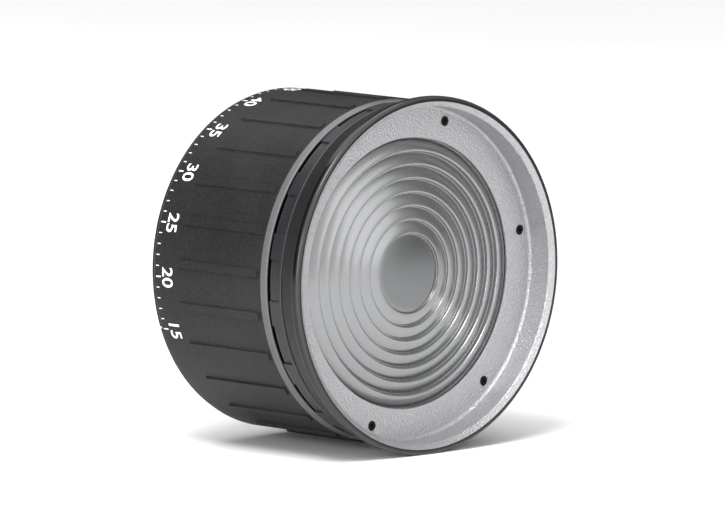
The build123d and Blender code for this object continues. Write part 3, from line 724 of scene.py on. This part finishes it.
softened("bayonet_plate", "plated_bayonet_plate", "housing", 0.25)
softened("condenser_holder", "anodised_lens_cup", "housing", 0.2)
softened("condenser_retainer", "anodised_clamp_ring", "housing", 0.15)
softened("barrel_retainer", "anodised_barrel_retainer", "housing", 0.15)
softened("guide_tube", "anodised_guide_tube", "housing", 0.15)
softened("carriage_sleeve", "anodised_carriage_sleeve", "carriage", 0.2)

# %% [markdown]
# A scale for the beam angle is screen printed round the rear of the barrel, read against the white pin in the
# cover. It starts under the pin and runs back over 110 degrees. Ink is a film, here 0.05 mm thick. The numbers
# are made as flat text and turned into meshes. Then each point (x, y) of the text moves to the angle x / r
# round the barrel, so the flat sheet wraps onto the cylinder.

# %% Printed scale
SCALE_START, SCALE_TURN, INK = 200.0, 110.0, 0.05
TICK_BACK, NUMERAL_HEIGHT, NUMERAL_FOOT = -12.6, 8.2, -17.4
LONG_TICK, SHORT_TICK = (0.38, 3.6), (0.26, 2.2)  # half width and length
values = [15, 20, 25, 30, 35, 40, 45]


def wrap(around, along, height, turn):
    """Points on the barrel: around is mm round it from a turn in degrees, along is Y, height is above it."""
    angles = np.radians(turn) + np.asarray(around) / BARREL
    radius = BARREL + height
    along = np.broadcast_to(along, angles.shape)
    return np.stack([radius * np.cos(angles), along, radius * np.sin(angles)], -1) * MM


verts, faces, count = [], [], 0
steps = 5 * (len(values) - 1) + 1
for step, turn in enumerate(SCALE_START - np.linspace(0, SCALE_TURN, steps)):
    half, length = SHORT_TICK if step % 5 else LONG_TICK
    x, y, h = np.meshgrid([-half, half], [TICK_BACK, TICK_BACK - length], [-INK, INK], indexing="ij")
    verts.append(wrap(x.ravel(), y.ravel(), h.ravel(), turn))
    box = np.array([[0, 1, 3, 2], [4, 6, 7, 5], [0, 4, 5, 1], [2, 3, 7, 6], [0, 2, 6, 4], [1, 5, 7, 3]])
    faces += (box + count).tolist()
    count += 8
for value, turn in zip(values, SCALE_START - np.linspace(0, SCALE_TURN, len(values))):
    text = bpy.data.curves.new("numeral", "FONT")
    text.body, text.align_x, text.extrude, text.offset = str(value), "CENTER", 0.01, 0.012
    letters = bpy.data.objects.new("numeral", text)
    bpy.context.scene.collection.objects.link(letters)
    flat = bpy.data.meshes.new_from_object(letters)
    co = np.empty(3 * len(flat.vertices), np.float32)
    flat.vertices.foreach_get("co", co)
    co = co.reshape(-1, 3).astype(float)
    size = NUMERAL_HEIGHT / (co[:, 1].max() - co[:, 1].min())
    x, y = co[:, 0] * size, NUMERAL_FOOT - (co[:, 1] - co[:, 1].min()) * size
    verts.append(wrap(x, y, np.sign(co[:, 2]) * INK, turn))
    faces += [[v + count for v in polygon.vertices] for polygon in flat.polygons]
    count += len(co)
    bpy.data.objects.remove(letters)
mesh = bpy.data.meshes.new("printed_beam_scale")
mesh.from_pydata(np.concatenate(verts), [], faces)
scale = closed("printed_beam_scale", mesh, 30)
dress(scale, "textured_plastic", "barrel", finish="printed_ink")

# %% [markdown]
# The studio is a pale floor that runs far behind the object, a white sky, and soft boxes. The sky gives more
# light from the front left than from the right, which is what draws the rings of the lens: their slopes mirror
# different parts of it. Where the sky itself is in view it is plain white. Big lights close by give wide, soft
# highlights on the lip and the dish, and leave the matt barrel dark.

# %% Floor and light
bpy.ops.mesh.primitive_plane_add(size=40.0, location=(0, 0, low[2] * MM))
floor = bpy.context.object
floor.name = "pale_floor"
finish, place = new_finish("pale_paper")
weave = add(finish, "TexNoise", {"Vector": place, "Scale": grains(400.0), "Detail": 1.0})
finish = shade(finish, Base_Color=tones(finish, weave.outputs["Fac"], "#f1f1f1", "#f4f4f4"), Roughness=0.9)
floor.data.materials.append(finish)
floor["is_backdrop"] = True

SKY_BRIGHT_SIDE, SKY_DIM, SKY_FULL = Vector((-0.60, -0.80, 0.35)), 0.14, 1.3
sky = bpy.data.worlds.new("studio_sky")
bpy.context.scene.world = sky
sky.use_nodes = True
tree = sky.node_tree
toward = tree.nodes.new("ShaderNodeVectorMath")
toward.operation = "DOT_PRODUCT"
toward.inputs[1].default_value = SKY_BRIGHT_SIDE.normalized()
tree.links.new(tree.nodes.new("ShaderNodeTexCoord").outputs["Generated"], toward.inputs[0])
fade = tree.nodes.new("ShaderNodeMapRange")
fade.interpolation_type = "SMOOTHSTEP"
for socket, value in (("From Min", -0.1), ("From Max", 0.95), ("To Min", SKY_DIM), ("To Max", SKY_FULL)):
    fade.inputs[socket].default_value = value
tree.links.new(toward.outputs["Value"], fade.inputs["Value"])
seen = tree.nodes.new("ShaderNodeMix")
tree.links.new(tree.nodes.new("ShaderNodeLightPath").outputs["Is Camera Ray"], seen.inputs[0])
tree.links.new(fade.outputs[0], seen.inputs[2])
seen.inputs[3].default_value = 1.0
tree.links.new(seen.outputs[0], tree.nodes["Background"].inputs["Strength"])
tree.nodes["Background"].inputs["Color"].default_value = (1, 1, 1, 1)
bpy.context.scene.view_settings.view_transform = "Standard"


def soft_box(name, sideways, backwards, above, width, height, power):
    """A rectangular area light, placed by camera directions and aimed at the object."""
    light = bpy.data.objects.new(name, bpy.data.lights.new(name, "AREA"))
    bpy.context.scene.collection.objects.link(light)
    light.data.shape, light.data.size, light.data.size_y = "RECTANGLE", width, height
    light.data.energy = power
    level = Vector((forward.x, forward.y, 0)).normalized()
    spot = right * sideways - level * backwards + Vector((0, 0, above))
    light.location = spot
    light.rotation_mode = "QUATERNION"
    light.rotation_quaternion = (-spot).to_track_quat("-Z", "Y")
    return light


soft_box("overhead_box", -0.6, -1.2, 3.2, 3.0, 3.0, 66.0)
soft_box("key_box", -0.3, 1.4, 2.1, 1.0, 1.0, 64.0)
soft_box("front_box", 1.35, 1.0, 0.6, 1.3, 1.3, 6.5)
soft_box("side_box", -1.1, 1.6, 0.4, 0.8, 0.8, 16.0)

# %% Sizes and finish
seen_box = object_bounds()
gap = (np.array(seen_box, float) - np.array(cad_box, float)) / MM
print("visual minus CAD in mm:", gap.round(2).tolist())
